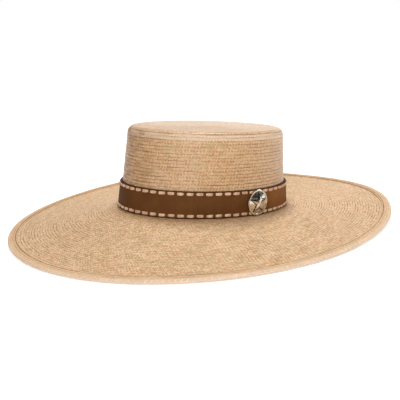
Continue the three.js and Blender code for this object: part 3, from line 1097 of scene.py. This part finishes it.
@dataclass
class Concho:
    """The silver button: a flat rim, a dome and a raised five-pointed star, one point up."""

    form: HatForm
    band: HatBand
    angle: float = math.radians(86)
    radius: float = 13.5 * MM
    rim_height: float = 1.2 * MM
    rim_width: float = 1.8 * MM
    rim_steps: tuple[tuple[float, float], ...] = ((0.2, 0.12), (0.6, 0.0), (0.2, -0.12))
    height: float = 3.8 * MM
    star_points: int = 5
    star_radius: float = 10.5 * MM
    star_waist: float = 0.42
    star_edge: float = 0.4 * MM
    star_relief: float = 0.9 * MM
    star_depth: float = 1.2 * MM
    recess: float = 1.1 * MM
    recess_rise: float = 0.06 * MM
    tip_grow: float = 1.6
    barrel_radius: float = 2.5 * MM
    barrel_sides: int = 24
    vertices: int = 96
    dome_steps: int = 12

    def dome_height(self, radius: Any) -> Any:
        """Returns the dome's height above the button's back at a distance from its middle."""
        foot = self.radius - self.rim_width
        rise = self.height - self.rim_height
        sphere = (foot**2 + rise**2) / (2 * rise)
        return self.height - sphere + np.sqrt(sphere**2 - np.minimum(radius, foot) ** 2)

    def tip_share(self, vertex: MeshVertex) -> float:
        """Returns 1 for a vertex in the direction of a star's tip, -1 between two of them."""
        turned = math.atan2(vertex.co.y, vertex.co.x) - math.pi / 2
        return math.cos(self.star_points * turned)

    def seat(self) -> Matrix:
        """Returns the frame of the button's back, its Z straight out of the band and its Y up."""
        form, band = self.form, self.band
        level = form.gap + band.height / 2
        angles = np.array([self.angle, self.angle + 0.01])
        here, ahead = (Vector(point) for point in form.crown_ring(angles, band.face, level))
        above = Vector(form.crown_ring(angles[:1], band.face, level + MM)[0])
        out = (ahead - here).cross(above - here).normalized()
        upright = out.cross(ahead - here).normalized()
        turn = Matrix((upright.cross(out), upright, out)).transposed().to_4x4()
        lift = Matrix.Translation((0.0, 0.0, band.lace_proud + form.gap))
        return Matrix.Translation(here) @ turn @ lift

    def build_dome(self) -> Object:
        """Turns a short cylinder into the button's body and returns it."""
        body = add_cylinder(self.radius, 0.0, self.rim_height, self.vertices)
        top = max(face.center.z for face in body.data.polygons)
        with editing("DESELECT"):
            bpy.ops.mesh.select_mode(type="FACE")
        for face in body.data.polygons:
            face.select = face.center.z > top - 1e-6
        bpy.ops.object.mode_set(mode="EDIT")
        for width, rise in self.rim_steps:
            bpy.ops.mesh.inset(thickness=width * self.rim_width, depth=rise * self.rim_width)
        foot = self.radius - self.rim_width
        for step in range(self.dome_steps):
            outer, inner = (foot * (1 - at / self.dome_steps) for at in (step, step + 1))
            rise = float(self.dome_height(inner) - self.dome_height(outer))
            if step < self.dome_steps - 1:
                bpy.ops.mesh.inset(thickness=outer - inner, depth=rise)
            else:
                bpy.ops.mesh.poke(offset=rise)
        bpy.ops.object.mode_set(mode="OBJECT")
        return body

    def build_star(self, grow: float, edge: float, ridge: float) -> Object:
        """Raises a star from a flat circle and lays it over the dome.

        Args:
            grow: How far the outline stands outside the star's own.
            edge: Height of the outline above the dome.
            ridge: Height of the middle and of the ridges above the dome.

        Returns:
            The star, closed below by the dome.
        """
        outline = {"vertices": 2 * self.star_points, "radius": self.star_radius, "fill_type": "NGON"}
        star = add_mesh(bpy.ops.mesh.primitive_circle_add, **outline)
        for vertex in star.data.vertices:
            reach = self.star_waist * self.star_radius + grow
            if self.tip_share(vertex) > 0:
                reach = self.star_radius + self.tip_grow * grow
            vertex.co = (vertex.co / self.star_radius) * reach
            vertex.co.z = edge
        with editing():
            bpy.ops.mesh.poke(offset=ridge - edge)
            bpy.ops.mesh.select_all(action="SELECT")
            bpy.ops.mesh.subdivide(number_cuts=1)
        for vertex in star.data.vertices:
            if self.tip_share(vertex) > 0.999 and vertex.co.xy.length < 0.6 * self.star_radius:
                vertex.co.z = ridge
        with editing():
            bpy.ops.mesh.subdivide(number_cuts=3)
            bpy.ops.mesh.select_all(action="SELECT")
            bpy.ops.mesh.extrude_region_move(TRANSFORM_OT_translate={"value": (0.0, 0.0, -self.star_depth)})
        for vertex in star.data.vertices:
            vertex.co.z += float(self.dome_height(vertex.co.xy.length))
        return star

    def build(self, polished: Material, oxidised: Material) -> None:
        """Builds the button, with the dark outline of its star and its threaded barrel."""
        body = self.build_dome()
        star = self.build_star(0.0, self.star_edge, self.star_relief)
        shadow = self.build_star(self.recess, self.recess_rise, self.recess_rise)
        reach = self.band.leather
        barrel = add_cylinder(self.barrel_radius, -reach, reach, self.barrel_sides)
        bpy.ops.object.select_all(action="DESELECT")
        for part in (body, star, shadow, barrel):
            part.data.materials.append(oxidised if part == shadow else polished)
            part.select_set(True)
        bpy.context.view_layer.objects.active = body
        bpy.ops.object.join()
        body.name = "star_concho"
        body.data.name = "star_concho"
        body.data.transform(self.seat())
        with editing():
            bpy.ops.mesh.normals_make_consistent(inside=False)
        bpy.ops.object.shade_smooth_by_angle(angle=math.radians(14))
        finish_piece(body, None, "silver", "concho")


@dataclass(frozen=True)
class Softbox:
    """A square soft light that looks at the hat: its place in degrees, reach, side and watts."""

    name: str
    azimuth: float
    elevation: float
    reach: float
    size: float
    watts: float

    def build(self) -> None:
        """Builds the light."""
        direction = heading(self.azimuth, self.elevation)
        data = bpy.data.lights.new(self.name, "AREA")
        data.size = self.size
        data.energy = self.watts
        light = bpy.data.objects.new(self.name, data)
        light.location = direction * self.reach
        light.rotation_euler = direction.to_track_quat("Z", "Y").to_euler()
        bpy.context.scene.collection.objects.link(light)


@dataclass(frozen=True)
class RoomPatch:
    """A place in the room that the hat mirrors: its middle and half its width in degrees, and colour."""

    azimuth: float
    elevation: float
    reach: float
    colour_hex: str
    brightness: float = 1.0

    def paint(self, maths: Maths, direction: Any, wall: Any) -> NodeSocket:
        """Paints the patch on the wall, fading out at its rim, and returns the wall's colour."""
        nearness = maths.reach(direction, heading(self.azimuth, self.elevation))
        rim, core = (math.cos(math.radians(share * self.reach)) for share in (1.0, 0.5))
        colour = [self.brightness * channel for channel in linear(self.colour_hex)[:3]]
        return maths.blend(maths.band(nearness, rim, core), wall, (*colour, 1.0))


@dataclass
class Studio:
    """A white room with a small hard key light, two soft fills and a camera at the height of the hat."""

    camera_azimuth: float = 47.0
    camera_elevation: float = 14.53
    camera_roll: float = math.radians(-3.08)
    camera_distance: float = 800.06 * MM
    lens: float = 63.79
    sensor_width: float = 36.0
    aim_sideways: float = -2.42 * MM
    aim_height: float = 18.94 * MM
    floor_size: float = 30.0
    glow: float = 0.35
    far_glow: float = 0.85
    glow_reach: Reach = (0.3, 1.5)
    white_hex: str = "ffffff"
    floor_mirrored_hex: str = "e8e8e8"
    wall_hexes: tuple[str, str] = ("5c5c5c", "a8a8a8")
    backdrop: RoomPatch = RoomPatch(227, 12, 40, "ffffff", 1.55)
    doorway: RoomPatch = RoomPatch(96, 25, 36, "342e28")
    dark_side: RoomPatch = RoomPatch(-45, 10, 95, "3a1e0c")
    softboxes: tuple[Softbox, ...] = (
        Softbox("overhead_softbox", 220, 74, 1.6, 0.35, 15),
        Softbox("front_softbox", 45, 36, 1.5, 0.7, 12),
        Softbox("right_softbox", 148, 29, 1.5, 0.5, 3),
    )

    def build_camera(self) -> None:
        """Places the camera and makes it the scene's."""
        back = heading(self.camera_azimuth, self.camera_elevation)
        right = heading(self.camera_azimuth + 90)
        up = back.cross(right)
        cos, sin = math.cos(self.camera_roll), math.sin(self.camera_roll)
        aim = right * self.aim_sideways + Vector((0.0, 0.0, self.aim_height))
        data = bpy.data.cameras.new("camera")
        data.lens = self.lens
        data.sensor_width = self.sensor_width
        data.clip_start = 0.01
        camera = bpy.data.objects.new("camera", data)
        turn = Matrix((right * cos + up * sin, up * cos - right * sin, back)).transposed().to_4x4()
        camera.matrix_world = Matrix.Translation(aim + back * self.camera_distance) @ turn
        bpy.context.scene.collection.objects.link(camera)
        bpy.context.scene.camera = camera

    def build_floor(self) -> None:
        """Lays a wide white table under the hat, lit from below and brighter away from the hat."""
        floor = add_mesh(bpy.ops.mesh.primitive_plane_add, size=self.floor_size)
        floor.name = "studio_floor"
        material, maths, shader = new_material("white_light_table")
        place = {0: maths.on_piece()}
        away = add_node(maths.tree, "VectorMath", place, operation="LENGTH").outputs["Value"]
        inputs = {
            "Emission Strength": maths.band(away, *self.glow_reach, self.glow, self.far_glow),
            "Emission Color": self.white_hex,
            "Base Color": self.white_hex,
            "Roughness": 1.0,
            "Specular IOR Level": 0.0,
        }
        set_inputs(maths.tree, shader, inputs)
        floor.data.materials.append(material)

    def build_room(self) -> None:
        """Makes the room: white for the camera, a bright backdrop and a dark doorway for the hat."""
        world = bpy.data.worlds.new("studio_room")
        bpy.context.scene.world = world
        world.use_nodes = True
        tree = world.node_tree
        tree.nodes.clear()
        maths = Maths(tree)
        direction = add_node(tree, "TexCoord").outputs["Generated"]
        up = add_node(tree, "SeparateXYZ", {0: direction}).outputs[2]
        wall = maths.blend(maths.band(up, 0.0, 0.9), *self.wall_hexes)
        for patch in (self.backdrop, self.doorway, self.dark_side):
            wall = patch.paint(maths, direction, wall)
        wall = maths.blend(maths.band(up, -0.05, 0.0), self.floor_mirrored_hex, wall)
        seen = add_node(tree, "LightPath").outputs["Is Camera Ray"]
        colour = maths.blend(seen, wall, self.white_hex)
        background = add_node(tree, "Background", {"Color": colour, "Strength": 1.0})
        add_node(tree, "OutputWorld", {"Surface": background.outputs[0]})

    def build(self) -> None:
        """Builds the whole studio."""
        self.build_camera()
        self.build_floor()
        self.build_room()
        for softbox in self.softboxes:
            softbox.build()
        settings = bpy.context.scene.view_settings
        settings.view_transform = "Standard"
        settings.look = "None"
        settings.exposure = 0.0


def crown_braid(crown: Crown) -> PalmBraid:
    """Returns the crown's finish, waxier than the brim's, with a painted highlight making the shoulder pale
    under the tip's joint and darker streaks on one side, partly the leaf's own and partly painted shade.
    """
    joint = crown.shoulder_row
    return PalmBraid(
        StrawUse.CROWN,
        roughness=0.36,
        marked_row=joint,
        painted_light_row=joint,
        # streaks with painted shade on the crown's less lit side
        streaks_and_side_shade=0.65,
        streak_and_shade_hex="965a22",
        dash_length=11.0,
        dash_line=0.4,
        gape_line=0.5,
        straw_spread=0.75,
        shine=1.0,
    )


def brim_braid(brim: Brim) -> PalmBraid:
    """Returns the brim's finish, dry and pale, with broad streaks and painted shade darkening its foot
    under the band.
    """
    return PalmBraid(
        StrawUse.BRIM,
        roughness=0.6,
        pale_hex="f9dcb6",
        ripe_hex="c89a68",
        straw_spread=0.85,
        weave_spread=0.35,
        streak_rows=1.5,
        dash_line=1.1,
        dash_length=3.0,
        dash_rows=2.0,
        # painted shade on the brim's foot, where the band casts its shadow
        painted_shade_row=brim.row_count - 1,
        painted_shade=0.42,
        shine=0.3,
    )


def hem_braid() -> PalmBraid:
    """Returns the hem's finish, of paler and more even straw, with painted light making it pale round the
    rim.
    """
    return PalmBraid(
        StrawUse.HEM,
        roughness=0.6,
        marked_row=Hem.seam_row,
        # painted light making the rim row paler
        painted_light_row=Hem.rim_row,
        painted_light_rows=1,
        painted_light_hex="e9d9cb",
        pale_hex="e8c9a4",
        ripe_hex="c69b6d",
        straw_spread=0.5,
        weave_spread=0.3,
        row_line=0.45,
        dash_line=0.3,
        straw_line=0.2,
        shine=0.3,
    )


def main() -> None:
    """Builds the hat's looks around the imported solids."""
    logging.basicConfig(level=logging.INFO, format="%(name)s %(message)s")
    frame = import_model()
    form = HatForm()
    crown = Crown(form)
    crown.build(crown_braid(crown).build())
    brim = Brim(form)
    brim.build(brim_braid(brim).build())
    Hem(form).build(hem_braid().build())
    band = HatBand(form)
    band.build(StrapLeather().build(), LaceLeather().build())
    Concho(form, band).build(Silver(SilverWear.POLISHED).build(), Silver(SilverWear.OXIDISED).build())
    screw = frame["nodes"]["concho_screw"]
    screw.data.materials.clear()
    screw.data.materials.append(Silver(SilverWear.DULL).build())
    Studio().build()


if __name__ == "__main__":
    main()
